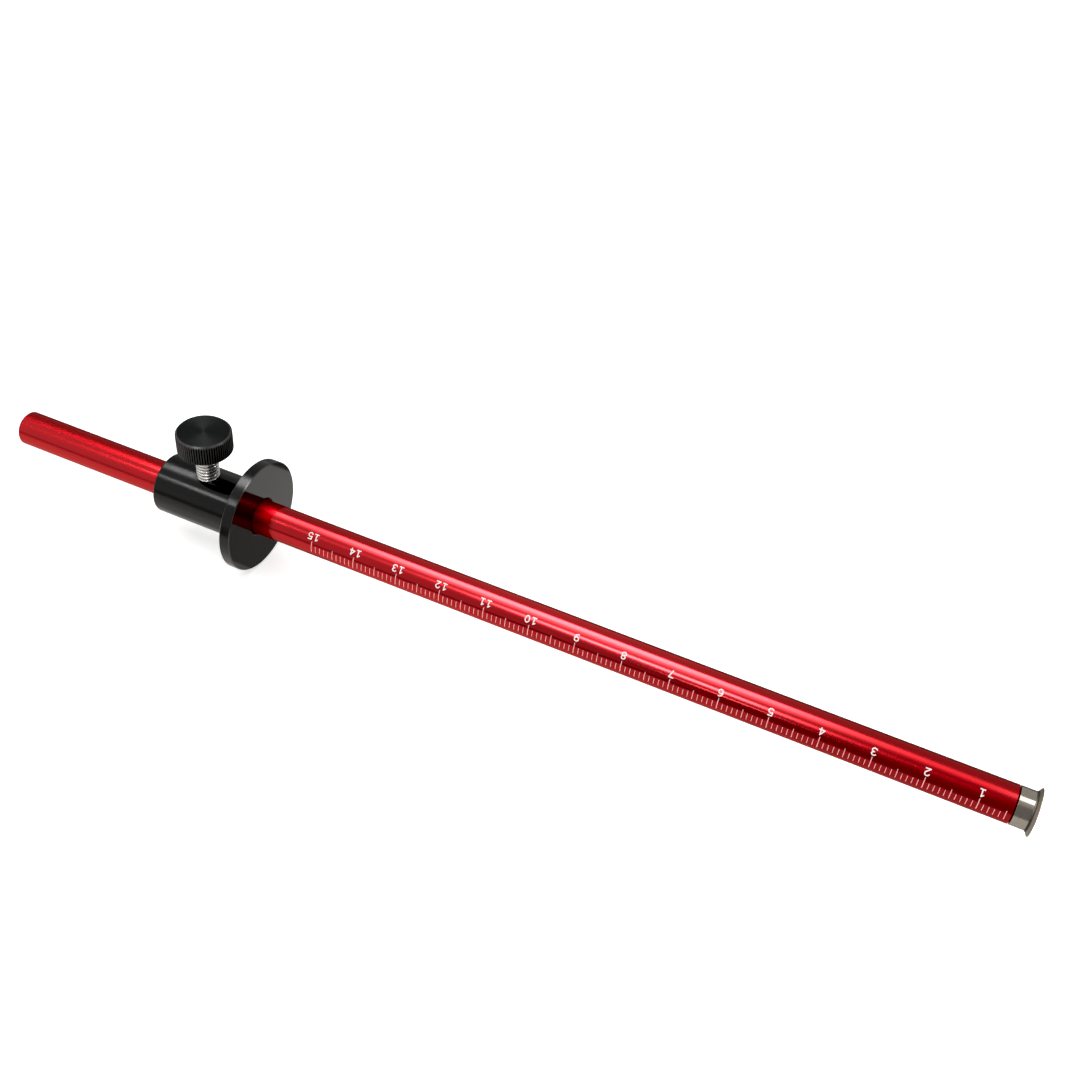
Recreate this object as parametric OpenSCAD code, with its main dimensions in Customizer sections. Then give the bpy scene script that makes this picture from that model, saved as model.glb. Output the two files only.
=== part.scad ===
// Round-bar wheel marking gauge.
// A graduated rod carries a sharp steel wheel on one end and a flanged round fence that
// slides along it. A thumb screw through the fence's collar locks the fence to the rod.
// +X points along the rod towards the cutting wheel and +Z points up along the thumb screw.
// The origin is below the middle of the rod, level with the lowest point of the fence flange.
// Distances named "s" are measured along the rod from the cutting edge, which is the zero of
// the scale.

/* [Rod] */
// Diameter of the rod
rod_d = 7.6; // [7.2:0.1:8]
// Length of the rod, from the back of the cutting wheel to the free end
rod_len = 222.8; // [200:0.2:260]
// Chamfer around the free end of the rod
rod_chamfer = 0.5; // [0.2:0.1:1]

/* [Fence] */
// Scale reading that the face of the fence stands at
fence_at = 164.5; // [20:0.1:176]
// Diameter of the fence flange
flange_d = 24.6; // [20:0.2:30]
// Thickness of the fence flange
flange_t = 2.5; // [2:0.1:4]
// Chamfer on both rim edges of the flange
flange_chamfer = 0.2; // [0.1:0.05:0.6]
// Diameter of the collar behind the flange
collar_d = 13.3; // [12.6:0.1:15]
// Length of the whole fence, from its face to the back of the collar
fence_len = 23.3; // [22:0.1:28]
// Radius of the rounded back edge of the collar
collar_round = 0.4; // [0.2:0.1:0.8]
// Countersink around the bore on the fence face
bore_countersink = 0.5; // [0.2:0.1:0.8]
// Radial clearance between the rod and the bore of the fence
bore_gap = 0.04; // [0.02:0.01:0.08]

/* [Grip ring] */
// Thickness of the rubber ring in the bore of the fence
ring_d = 1.5; // [1.2:0.1:1.6]
// Distance of the ring behind the fence face
ring_at = 18.5; // [17.9:0.1:19.1]

/* [Thumb screw] */
// Distance of the thumb screw behind the fence face
screw_at = 13; // [12.4:0.1:13.4]
// Outside diameter of the thread on the stud
stud_d = 4.88; // [4.6:0.02:5]
// Pitch of the thread
thread_pitch = 0.8; // [0.6:0.05:1]
// Height of the underside of the knob above the axis of the rod
knob_under = 13.3; // [11:0.05:17]
// Diameter of the knob over its knurl
knob_d = 11.7; // [10:0.1:14]
// Height of the knob
knob_h = 4.7; // [3.8:0.1:6]
// Chamfer around the top of the knob
knob_chamfer = 0.45; // [0.2:0.05:0.7]
// Number of flutes in the straight knurl
knurl_count = 70; // [40:2:90]
// Thickness of the soft pad under the screw
pad_t = 0.6; // [0.4:0.1:0.9]

/* [Cutting wheel] */
// Diameter of the cutting edge
edge_d = 9.4; // [9:0.02:10.4]
// Width of the blunt land on the cutting edge
edge_land = 0.1; // [0.05:0.01:0.2]
// Length of the wheel along the rod
wheel_len = 3.8; // [3.4:0.1:5]
// Slope of the bevel that rises from the hub to the edge
bevel_angle = 56; // [50:1:62]
// Radius of the fillet between the hub and the bevel
bevel_fillet = 0.5; // [0.3:0.1:0.8]
// Outside diameter of the screw thread that holds the wheel
cutter_screw_d = 2.96; // [2.4:0.02:3]
// Length of the screw that holds the wheel
cutter_screw_len = 9; // [7:0.5:12]

/* [Hidden] */
$fn = 96;

rod_r = rod_d / 2;
overall = wheel_len + rod_len;
axis_z = flange_d / 2;
bore_r = rod_r + bore_gap;
collar_r = collar_d / 2;
flange_r = flange_d / 2;

// gap between faces that only meet
face_gap = 0.03;

// the ring lies just clear of the rod, in a groove with a little room
ring_mid = rod_r + face_gap + ring_d / 2;
groove_r = ring_mid + ring_d / 2 + 0.07;
groove_w = ring_d + 0.4;

// the pad is a small saddle that straddles the rod
pad_r = 2.05;
pad_top = rod_r + face_gap + pad_t;
stud_r = stud_d / 2;
stud_root = stud_r - 0.6 * thread_pitch;
stud_tip = pad_top + 0.02;
stud_hole_r = stud_r + 0.05;
knob_r = knob_d / 2;
knob_bore = knob_h - 1.3;
knurl_depth = 0.22;

// wheel: the hub is as wide as the rod, and a fillet leads from it into the bevel
hub_r = rod_r;
edge_r = edge_d / 2;
fillet_s = edge_land + (edge_r - hub_r) / tan(bevel_angle) + bevel_fillet * tan(bevel_angle / 2);
wheel_hole_r = cutter_screw_d / 2 + 0.05;
head_r = 2.75;
head_s = 0.2;
head_rim = 0.15;
tap_r = cutter_screw_d / 2 + 0.02;

// x of a point at distance s from the cutting edge
function at(s) = overall / 2 - s;

// a body turned about the axis of the rod, from points [radius, s]
module turned(points) {
    translate([0, 0, axis_z]) rotate([0, 90, 0]) rotate_extrude() polygon([for (p = points) [p[0], at(p[1])]]);
}

// a body turned about the axis of the thumb screw, from points [radius, height above the rod axis]
module upright(points) {
    translate([at(fence_at + screw_at), 0, axis_z]) rotate_extrude() polygon(points);
}

module beam_rod() {
    color("#a4141f")
    turned([
        [0, overall], [rod_r - rod_chamfer, overall], [rod_r, overall - rod_chamfer],
        [rod_r, wheel_len + face_gap + 0.12], [rod_r - 0.12, wheel_len + face_gap],
        [tap_r + 0.2, wheel_len + face_gap], [tap_r, wheel_len + face_gap + 0.2],
        [tap_r, cutter_screw_len + 1.2], [0, cutter_screw_len + 1.2 + tap_r * 0.6]
    ]);
}

module fence() {
    f = fence_at;
    color("#1d1c1b")
    difference() {
        turned([
            [bore_r + bore_countersink, f], [flange_r - flange_chamfer, f], [flange_r, f + flange_chamfer],
            [flange_r, f + flange_t - flange_chamfer], [flange_r - flange_chamfer, f + flange_t],
            [collar_r + 0.25, f + flange_t], [collar_r, f + flange_t + 0.25],
            for (a = [0:15:90]) [collar_r - collar_round * (1 - cos(a)), f + fence_len - collar_round * (1 - sin(a))],
            [bore_r + 0.4, f + fence_len], [bore_r, f + fence_len - 0.4],
            [bore_r, f + ring_at + groove_w / 2], [groove_r, f + ring_at + groove_w / 2],
            [groove_r, f + ring_at - groove_w / 2], [bore_r, f + ring_at - groove_w / 2],
            [bore_r, f + bore_countersink]
        ]);
        // tapped hole for the thumb screw, through one wall of the collar
        translate([at(f + screw_at), 0, axis_z]) cylinder(r = stud_hole_r, h = collar_r + 2);
    }
}

module grip_ring() {
    color("#262626")
    translate([at(fence_at + ring_at), 0, axis_z]) rotate([0, 90, 0])
        rotate_extrude() translate([ring_mid, 0]) circle(d = ring_d);
}

module clamp_pad() {
    color("#b5953c")
    difference() {
        upright([[0, rod_r - 0.35], [pad_r, rod_r - 0.35], [pad_r, pad_top - 0.1], [pad_r - 0.1, pad_top], [0, pad_top]]);
        translate([at(fence_at + screw_at) - 4, 0, axis_z]) rotate([0, 90, 0]) cylinder(r = rod_r + face_gap, h = 8);
    }
}

// the thread is a stack of rings from the tip to the knob
module clamp_stud() {
    turns = floor((knob_under - stud_tip - 1.2) / thread_pitch);
    z0 = stud_tip + 0.5;
    color("#b9b8b4")
    upright([
        [0, stud_tip], [stud_root, stud_tip], [stud_root + 0.1, z0],
        for (i = [0:turns - 1]) each [
            [stud_root, z0 + (i + 0.1) * thread_pitch], [stud_r, z0 + (i + 0.45) * thread_pitch],
            [stud_r, z0 + (i + 0.58) * thread_pitch], [stud_root, z0 + (i + 0.93) * thread_pitch]
        ],
        [stud_root, knob_under - 0.3], [stud_r, knob_under - 0.05], [stud_r, knob_under + knob_bore], [0, knob_under + knob_bore]
    ]);
}

module clamp_knob() {
    top = knob_under + knob_h;
    step = 360 / knurl_count;
    color("#1b1a19")
    difference() {
        upright([
            [stud_r, knob_under], [knob_r - 0.25, knob_under], [knob_r, knob_under + 0.25],
            [knob_r, top - knob_chamfer], [knob_r - knob_chamfer, top],
            [0, top], [0, knob_under + knob_bore], [stud_r, knob_under + knob_bore]
        ]);
        // straight knurl: a row of V flutes around the rim
        translate([at(fence_at + screw_at), 0, axis_z + knob_under - 0.5])
            for (i = [0:knurl_count - 1]) rotate([0, 0, i * step])
                linear_extrude(height = knob_h + 1)
                    polygon([[knob_r - knurl_depth, 0], [knob_r + 0.1, -0.31 * step * knob_r * PI / 180 - 0.06], [knob_r + 0.1, 0.31 * step * knob_r * PI / 180 + 0.06]]);
    }
}

module cutter_wheel() {
    color("#a9a8a4")
    turned([
        [head_r + 0.07, 0], [edge_r, 0], [edge_r, edge_land],
        for (i = [6:-1:0]) [
            hub_r + bevel_fillet * (1 - cos(bevel_angle * i / 6)), fillet_s - bevel_fillet * sin(bevel_angle * i / 6)
        ],
        [hub_r, wheel_len - 0.12], [hub_r - 0.12, wheel_len], [wheel_hole_r, wheel_len],
        [wheel_hole_r, head_s + head_rim + head_r + 0.07 - wheel_hole_r], [head_r + 0.07, head_s + head_rim]
    ]);
}

module cutter_screw() {
    color("#55534f")
    difference() {
        turned([
            [0, head_s], [head_r, head_s], [head_r, head_s + head_rim],
            [cutter_screw_d / 2, head_s + head_rim + head_r - cutter_screw_d / 2],
            [cutter_screw_d / 2, cutter_screw_len - 0.3], [cutter_screw_d / 2 - 0.3, cutter_screw_len], [0, cutter_screw_len]
        ]);
        // hexagon socket
        translate([at(head_s + 1.3), 0, axis_z]) rotate([0, 90, 0]) cylinder(d = 2 / cos(30), h = 3, $fn = 6);
    }
}

beam_rod();
fence();
grip_ring();
clamp_pad();
clamp_stud();
clamp_knob();
cutter_wheel();
cutter_screw();
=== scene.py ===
import math

import bpy
import numpy as np
from mathutils import Matrix, Vector


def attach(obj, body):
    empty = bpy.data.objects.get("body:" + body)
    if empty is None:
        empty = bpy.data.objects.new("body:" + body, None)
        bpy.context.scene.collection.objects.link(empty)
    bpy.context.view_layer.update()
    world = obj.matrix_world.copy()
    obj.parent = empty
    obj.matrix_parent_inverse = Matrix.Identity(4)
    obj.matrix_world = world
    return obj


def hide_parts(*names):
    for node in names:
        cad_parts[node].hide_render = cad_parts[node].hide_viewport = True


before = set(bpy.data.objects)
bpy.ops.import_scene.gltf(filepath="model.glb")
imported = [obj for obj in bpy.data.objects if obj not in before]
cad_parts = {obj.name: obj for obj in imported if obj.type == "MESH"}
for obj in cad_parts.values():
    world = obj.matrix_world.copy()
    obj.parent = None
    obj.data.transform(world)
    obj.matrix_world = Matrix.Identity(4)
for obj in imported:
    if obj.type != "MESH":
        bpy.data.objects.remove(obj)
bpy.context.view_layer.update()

# ------------------------------------------------------------------ dimensions
# All in millimetres of the CAD frame. "s" is the distance from the cutting edge along the rod.
MM = 0.001
OVERALL = 226.6
AXIS_Z = 12.3
ROD_R = 3.8
WHEEL_LEN = 3.8
FENCE_AT = 164.5
SCREW_X = OVERALL / 2 - (FENCE_AT + 13.0)
KNOB_R = 5.85
KNOB_UNDER = 13.3
KNOB_TOP = KNOB_UNDER + 4.7


def at(s):
    return OVERALL / 2 - s


# ------------------------------------------------------------------ mesh helpers
class Profile:
    """A closed outline in (radius, along) millimetres whose corners may be rounded. Each stretch keeps its own
    exact normals and material, so that flat faces stay flat and rounded edges catch the light."""

    def __init__(self, points):
        # points: (radius, along, rounding, material of the stretch that starts here)
        area = sum(
            a[1] * b[0] - b[1] * a[0] for a, b in zip(points, points[1:] + points[:1])
        )
        pts = [(p[1], p[0], p[2], p[3]) for p in points]
        if area < 0:
            # turned round, each stretch's material goes to its other end
            pts = pts[::-1]
            pts = [
                (p[0], p[1], p[2], pts[(i + 1) % len(pts)][3])
                for i, p in enumerate(pts)
            ]
        n = len(pts)
        self.stretches = []  # (p0, p1, n0, n1, material)
        cut = []
        for i, (u, v, r, m) in enumerate(pts):
            a, c = np.array(pts[i - 1][:2]), np.array(pts[(i + 1) % n][:2])
            b = np.array([u, v])
            if r <= 0:
                cut.append((b, b, None))
                continue
            da, dc = (a - b) / np.linalg.norm(a - b), (c - b) / np.linalg.norm(c - b)
            half = math.acos(max(-1.0, min(1.0, float(da @ dc)))) / 2
            t = r / math.tan(half)
            p, q = b + da * t, b + dc * t
            mid = (da + dc) / np.linalg.norm(da + dc)
            cut.append((p, q, b + mid * r / math.sin(half)))
        for i in range(n):
            j = (i + 1) % n
            m = pts[i][3]
            p, q = cut[i][1], cut[j][0]
            d = q - p
            ln = np.linalg.norm(d)
            if ln > 1e-9 and not (abs(p[1]) < 1e-9 and abs(q[1]) < 1e-9):
                nn = np.array([d[1], -d[0]]) / ln
                self.stretches.append((p, q, nn, nn, m))
            centre = cut[j][2]
            if centre is not None:
                p, q = cut[j][0], cut[j][1]
                rad = np.linalg.norm(p - centre)
                a0 = math.atan2(*(p - centre)[::-1])
                a1 = math.atan2(*(q - centre)[::-1])
                while a1 - a0 > math.pi:
                    a1 -= 2 * math.pi
                while a0 - a1 > math.pi:
                    a1 += 2 * math.pi
                k = max(3, int(abs(a1 - a0) / math.radians(15)) + 1)
                sign = 1 if a1 > a0 else -1
                self.arc(centre, rad, a0, a1, k, sign, pts[j][3] if pts[i][3] != pts[j][3] else m)

    def arc(self, centre, rad, a0, a1, k, sign, m):
        for e in range(k):
            t0, t1 = a0 + (a1 - a0) * e / k, a0 + (a1 - a0) * (e + 1) / k
            d0 = np.array([math.cos(t0), math.sin(t0)])
            d1 = np.array([math.cos(t1), math.sin(t1)])
            self.stretches.append(
                (centre + rad * d0, centre + rad * d1, sign * d0, sign * d1, m)
            )


def place_x(u, r, t):
    """A point turned about the axis of the rod, in metres: t is the angle from +Z towards -Y."""
    return ((u) * MM, -r * math.sin(t) * MM, (AXIS_Z + r * math.cos(t)) * MM)


def place_z(u, r, t):
    """A point turned about the axis of the thumb screw, in metres."""
    return ((SCREW_X + r * math.cos(t)) * MM, r * math.sin(t) * MM, (AXIS_Z + u) * MM)


def direction(place, nu, nr, t):
    if place is place_x:
        return (nu, -nr * math.sin(t), nr * math.cos(t))
    return (nr * math.cos(t), nr * math.sin(t), nu)


def make_object(name, verts, faces, mats, face_mats=None, normals=None):
    me = bpy.data.meshes.new(name)
    me.from_pydata([tuple(v) for v in verts], [], [tuple(f) for f in faces])
    for m in mats:
        me.materials.append(m)
    if face_mats is not None:
        me.polygons.foreach_set("material_index", np.array(face_mats, np.int32))
    me.polygons.foreach_set("use_smooth", np.ones(len(me.polygons), bool))
    me.update()
    if normals is not None:
        me.normals_split_custom_set([tuple(n) for n in normals])
    ob = bpy.data.objects.new(name, me)
    bpy.context.scene.collection.objects.link(ob)
    return ob


def lathe(name, profile, mats, place=place_x, segs=256):
    """A closed body of revolution with exact normals."""
    verts, index = [], {}

    def vid(p, j):
        on_axis = abs(p[1]) < 1e-9
        key = (round(p[0], 6), round(p[1], 6), 0 if on_axis else j % segs)
        if key not in index:
            index[key] = len(verts)
            verts.append(place(p[0], p[1], 2 * math.pi * key[2] / segs))
        return index[key]

    faces, fm, normals = [], [], []
    for p, q, n0, n1, m in profile.stretches:
        for j in range(segs):
            t0, t1 = 2 * math.pi * j / segs, 2 * math.pi * (j + 1) / segs
            quad = [(p, n0, t0, j), (q, n1, t0, j), (q, n1, t1, j + 1), (p, n0, t1, j + 1)]
            if abs(p[1]) < 1e-9:
                quad = [quad[0], quad[1], quad[2]]
                quad[0] = (p, n0, (t0 + t1) / 2, j)
            elif abs(q[1]) < 1e-9:
                quad = [quad[0], quad[1], quad[3]]
                quad[1] = (q, n1, (t0 + t1) / 2, j)
            ids = [vid(a, c) for a, _, _, c in quad]
            ns = [direction(place, b[0], b[1], t) for _, b, t, _ in quad]
            v = [np.array(verts[i]) for i in ids]
            fn = np.cross(v[1] - v[0], v[2] - v[0])
            if fn @ np.array(ns[1]) < 0:
                ids, ns = ids[::-1], ns[::-1]
            faces.append(ids)
            fm.append(m)
            normals += ns
    return make_object(name, verts, faces, mats, fm, normals)


# ------------------------------------------------------------------ materials
def new_material(name):
    m = bpy.data.materials.new(name)
    m.use_nodes = True
    return m, m.node_tree, m.node_tree.nodes["Principled BSDF"]


class Nodes:
    """Short calls for the node trees. Texture places are in millimetres of the piece's own frame."""

    def __init__(self, nt):
        self.nt = nt
        self.tc = nt.nodes.new("ShaderNodeTexCoord")
        self.mm = self.vec("MULTIPLY", self.tc.outputs["Object"], (1000.0, 1000.0, 1000.0))

    def put(self, socket, value):
        if isinstance(value, bpy.types.NodeSocket):
            self.nt.links.new(value, socket)
        else:
            socket.default_value = value

    def vec(self, op, a, b):
        n = self.nt.nodes.new("ShaderNodeVectorMath")
        n.operation = op
        self.put(n.inputs[0], a)
        self.put(n.inputs[1], b)
        return n.outputs["Value"] if op in ("LENGTH", "DISTANCE", "DOT_PRODUCT") else n.outputs[0]

    def math(self, op, a, b=0.0, c=None, clamp=False):
        n = self.nt.nodes.new("ShaderNodeMath")
        n.operation = op
        n.use_clamp = clamp
        self.put(n.inputs[0], a)
        self.put(n.inputs[1], b)
        if c is not None:
            self.put(n.inputs[2], c)
        return n.outputs[0]

    def xyz(self, v):
        n = self.nt.nodes.new("ShaderNodeSeparateXYZ")
        self.put(n.inputs[0], v)
        return n.outputs[0], n.outputs[1], n.outputs[2]

    def combine(self, x, y, z):
        n = self.nt.nodes.new("ShaderNodeCombineXYZ")
        for s, v in zip(n.inputs, (x, y, z)):
            self.put(s, v)
        return n.outputs[0]

    def noise(self, vector, scale, detail=3.0, rough=0.55, distortion=0.0):
        n = self.nt.nodes.new("ShaderNodeTexNoise")
        self.put(n.inputs["Vector"], vector)
        n.inputs["Scale"].default_value = scale
        n.inputs["Detail"].default_value = detail
        n.inputs["Roughness"].default_value = rough
        n.inputs["Distortion"].default_value = distortion
        return n.outputs[0]

    def voronoi(self, vector, scale, feature="F1", randomness=1.0):
        n = self.nt.nodes.new("ShaderNodeTexVoronoi")
        n.feature = feature
        self.put(n.inputs["Vector"], vector)
        n.inputs["Scale"].default_value = scale
        n.inputs["Randomness"].default_value = randomness
        return n

    def span(self, value, a, b, c, d):
        n = self.nt.nodes.new("ShaderNodeMapRange")
        n.clamp = True
        self.put(n.inputs["Value"], value)
        for k, v in zip(("From Min", "From Max", "To Min", "To Max"), (a, b, c, d)):
            n.inputs[k].default_value = v
        return n.outputs["Result"]

    def ramp(self, value, stops):
        n = self.nt.nodes.new("ShaderNodeValToRGB")
        self.put(n.inputs[0], value)
        e = n.color_ramp.elements
        while len(e) < len(stops):
            e.new(0.5)
        for el, (p, c) in zip(e, stops):
            el.position = p
            el.color = (*c, 1.0)
        return n.outputs[0]

    def mix(self, factor, a, b, blend="MIX"):
        n = self.nt.nodes.new("ShaderNodeMix")
        n.data_type = "RGBA"
        n.blend_type = blend
        self.put(n.inputs[0], factor)
        for s, v in ((n.inputs[6], a), (n.inputs[7], b)):
            self.put(s, (*v, 1.0) if isinstance(v, tuple) and len(v) == 3 else v)
        return n.outputs[2]

    def bump(self, height, distance, strength=1.0, normal=None):
        n = self.nt.nodes.new("ShaderNodeBump")
        n.inputs["Strength"].default_value = strength
        n.inputs["Distance"].default_value = distance
        self.put(n.inputs["Height"], height)
        if normal is not None:
            self.put(n.inputs["Normal"], normal)
        return n.outputs[0]


def red_anodised():
    m, nt, b = new_material("red_anodised")
    k = Nodes(nt)
    x, y, z = k.xyz(k.mm)
    long = k.vec("MULTIPLY", k.mm, (0.012, 1.0, 1.0))
    streak = k.noise(long, 3.2, 4.0, 0.6)
    fine = k.noise(k.vec("MULTIPLY", k.mm, (0.05, 1.0, 1.0)), 9.0, 2.0, 0.5)
    cloud = k.noise(k.vec("MULTIPLY", k.mm, (0.25, 1.0, 1.0)), 0.55, 2.0, 0.5)
    grain = k.noise(k.mm, 7.0, 2.0, 0.6)
    tone = k.math("ADD", k.math("MULTIPLY", streak, 0.55), k.math("MULTIPLY", cloud, 0.45))
    k.put(
        b.inputs["Base Color"],
        k.ramp(tone, [(0.28, (0.36, 0.0010, 0.0050)), (0.52, (0.41, 0.0015, 0.0066)), (0.75, (0.46, 0.0025, 0.0088))]),
    )
    b.inputs["Metallic"].default_value = 1.0
    # the middle is the glossiest, the cutter end is duller, and a short stretch is scuffed where the fence was clamped
    dull = k.math("ADD", k.span(x, at(52.0), at(14.0), 0.0, 0.30), k.span(x, at(146.0), at(160.0), 0.0, 0.06))
    scuff = k.math("SUBTRACT", k.span(x, at(158.8), at(161.4), 0.0, 0.19), k.span(x, at(166.0), at(184.0), 0.0, 0.10))
    base = k.span(k.math("ADD", fine, k.math("MULTIPLY", grain, 0.5)), 0.5, 1.0, 0.12, 0.18)
    k.put(b.inputs["Roughness"], k.math("ADD", k.math("ADD", base, scuff), k.math("MULTIPLY", dull, 0.26)))
    b.inputs["Specular Tint"].default_value = (1.0, 0.12, 0.15, 1.0)
    b.inputs["Coat Weight"].default_value = 0.28
    b.inputs["Coat Roughness"].default_value = 0.12
    b.inputs["Coat IOR"].default_value = 1.77
    # a few small pits left by handling
    v = k.voronoi(k.vec("MULTIPLY", k.mm, (0.8, 1.0, 1.0)), 0.55)
    keep = k.math("GREATER_THAN", k.xyz(v.outputs["Color"])[0], 0.72)
    pit = k.math("MULTIPLY", k.span(v.outputs["Distance"], 0.0, 0.09, 1.0, 0.0), keep)
    h = k.math("ADD", k.math("MULTIPLY", streak, 0.4), k.math("MULTIPLY", grain, k.span(dull, 0.0, 0.4, 0.12, 0.5)))
    h = k.math("SUBTRACT", h, k.math("MULTIPLY", pit, 3.0))
    h = k.math("MULTIPLY", h, k.span(x, at(166.0), at(184.0), 1.0, 0.12))
    # small dents from the clamped fence
    near = k.math("MULTIPLY", k.span(x, at(158.5), at(161.0), 0.0, 1.0), k.span(x, at(167.0), at(164.5), 0.0, 1.0))
    dent = k.noise(k.mm, 1.5, 2.0, 0.5)
    h = k.math("ADD", h, k.math("MULTIPLY", k.math("MULTIPLY", dent, near), 6.0))
    nrm = k.bump(h, 0.0000032, 1.0)
    k.put(b.inputs["Normal"], nrm)
    k.put(b.inputs["Coat Normal"], nrm)
    return m


def mark(name, low, high):
    """Lasered marks: the bared metal is pale, with some red left in the thin lines."""
    m, nt, b = new_material(name)
    k = Nodes(nt)
    n = k.noise(k.mm, 5.0, 3.0, 0.6)
    k.put(b.inputs["Base Color"], k.ramp(n, [(0.25, low), (0.6, high)]))
    k.put(b.inputs["Roughness"], k.span(n, 0.3, 0.7, 0.55, 0.75))
    k.put(b.inputs["Normal"], k.bump(k.noise(k.mm, 14.0, 2.0), 0.000002, 0.6))
    return m


def black_collar():
    """Satin black, with the rings that turning leaves."""
    m, nt, b = new_material("black_collar")
    k = Nodes(nt)
    x, y, z = k.xyz(k.mm)
    rings = k.noise(k.combine(x, 0.0, 0.0), 5.5, 3.0, 0.6)
    mott = k.noise(k.mm, 0.9, 4.0, 0.6)
    grain = k.noise(k.mm, 11.0, 2.0, 0.6)
    k.put(b.inputs["Base Color"], k.ramp(mott, [(0.3, (0.0014, 0.0014, 0.0014)), (0.7, (0.0032, 0.0030, 0.0029))]))
    k.put(b.inputs["Roughness"], k.span(k.math("ADD", k.math("MULTIPLY", rings, 0.6), k.math("MULTIPLY", mott, 0.6)), 0.4, 0.8, 0.12, 0.18))
    b.inputs["IOR"].default_value = 1.35
    h = k.math("ADD", rings, k.math("MULTIPLY", grain, 0.25))
    k.put(b.inputs["Normal"], k.bump(h, 0.0000022, 1.0))
    return m


def black_face():
    """Polished black face, with very faint rings."""
    m, nt, b = new_material("black_face")
    k = Nodes(nt)
    x, y, z = k.xyz(k.mm)
    zz = k.math("SUBTRACT", z, AXIS_Z)
    rad = k.math("SQRT", k.math("ADD", k.math("MULTIPLY", y, y), k.math("MULTIPLY", zz, zz)))
    rings = k.noise(k.combine(rad, 0.0, 0.0), 7.0, 2.0, 0.5)
    mott = k.noise(k.mm, 0.6, 3.0, 0.6)
    k.put(b.inputs["Base Color"], k.ramp(mott, [(0.3, (0.0030, 0.0030, 0.0030)), (0.7, (0.0055, 0.0052, 0.0050))]))
    k.put(b.inputs["Roughness"], k.span(k.math("ADD", k.math("MULTIPLY", rings, 0.5), k.math("MULTIPLY", mott, 0.5)), 0.35, 0.7, 0.07, 0.12))
    b.inputs["IOR"].default_value = 1.31
    k.put(b.inputs["Normal"], k.bump(rings, 0.0000005, 1.0))
    return m


def black_edge():
    """Chamfers, painted a little brighter than the black: a painted glint along the edges."""
    m, nt, b = new_material("black_edge")
    k = Nodes(nt)
    n = k.noise(k.mm, 3.0, 4.0, 0.65)
    k.put(b.inputs["Base Color"], k.ramp(n, [(0.35, (0.012, 0.012, 0.012)), (0.75, (0.035, 0.034, 0.033))]))
    k.put(b.inputs["Roughness"], k.span(n, 0.3, 0.7, 0.14, 0.24))
    b.inputs["IOR"].default_value = 1.5
    k.put(b.inputs["Normal"], k.bump(n, 0.000002, 0.7))
    return m


def knob_side():
    m, nt, b = new_material("knob_side")
    k = Nodes(nt)
    n = k.noise(k.mm, 2.2, 4.0, 0.6)
    g = k.noise(k.mm, 12.0, 2.0, 0.6)
    k.put(b.inputs["Base Color"], k.ramp(n, [(0.3, (0.0130, 0.0132, 0.0134)), (0.75, (0.0220, 0.0220, 0.0220))]))
    k.put(b.inputs["Roughness"], k.span(n, 0.3, 0.7, 0.34, 0.44))
    b.inputs["IOR"].default_value = 1.34
    k.put(b.inputs["Normal"], k.bump(g, 0.000002, 0.8))
    return m


def knob_groove():
    """Bottoms of the knurl, dead matt and painted near-black as shade in the grooves."""
    m, nt, b = new_material("knob_groove")
    k = Nodes(nt)
    n = k.noise(k.mm, 4.0, 3.0, 0.6)
    k.put(b.inputs["Base Color"], k.ramp(n, [(0.3, (0.0010, 0.0010, 0.0010)), (0.75, (0.0028, 0.0028, 0.0028))]))
    k.put(b.inputs["Roughness"], k.span(n, 0.3, 0.7, 0.55, 0.75))
    b.inputs["IOR"].default_value = 1.2
    k.put(b.inputs["Normal"], k.bump(n, 0.000004, 0.8))
    return m


def knob_chamfer():
    """Turned chamfer round the top of the knob, painted a little lighter: a painted sheen."""
    m, nt, b = new_material("knob_chamfer")
    k = Nodes(nt)
    n = k.noise(k.mm, 1.6, 4.0, 0.65)
    k.put(b.inputs["Base Color"], k.ramp(n, [(0.35, (0.016, 0.016, 0.016)), (0.7, (0.040, 0.040, 0.039))]))
    k.put(b.inputs["Roughness"], k.span(n, 0.3, 0.7, 0.28, 0.40))
    b.inputs["IOR"].default_value = 1.45
    k.put(b.inputs["Normal"], k.bump(n, 0.000003, 0.8))
    return m


def knob_top():
    """Faced off in a lathe: fine rings about the screw's axis, brighter in a bow-tie."""
    m, nt, b = new_material("knob_top")
    k = Nodes(nt)
    x, y, z = k.xyz(k.mm)
    dx = k.math("SUBTRACT", x, SCREW_X)
    rad = k.math("SQRT", k.math("ADD", k.math("MULTIPLY", dx, dx), k.math("MULTIPLY", y, y)))
    rings = k.noise(k.combine(rad, 0.0, 0.0), 9.0, 3.0, 0.7)
    coarse = k.noise(k.combine(rad, 0.0, 0.0), 2.2, 2.0, 0.5)
    mott = k.noise(k.mm, 1.3, 3.0, 0.6)
    k.put(b.inputs["Base Color"], k.ramp(k.math("ADD", k.math("MULTIPLY", coarse, 0.5), k.math("MULTIPLY", mott, 0.5)), [(0.3, (0.0026, 0.0030, 0.0032)), (0.7, (0.0050, 0.0056, 0.0058))]))
    k.put(b.inputs["Roughness"], k.span(rings, 0.3, 0.7, 0.26, 0.36))
    b.inputs["IOR"].default_value = 1.24
    b.inputs["Anisotropic"].default_value = 0.75
    b.inputs["Anisotropic Rotation"].default_value = 0.25
    t = nt.nodes.new("ShaderNodeTangent")
    t.direction_type = "RADIAL"
    t.axis = "Z"
    k.put(b.inputs["Tangent"], t.outputs[0])
    k.put(b.inputs["Normal"], k.bump(k.math("ADD", rings, k.math("MULTIPLY", coarse, 1.5)), 0.000006, 1.0))
    return m


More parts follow.
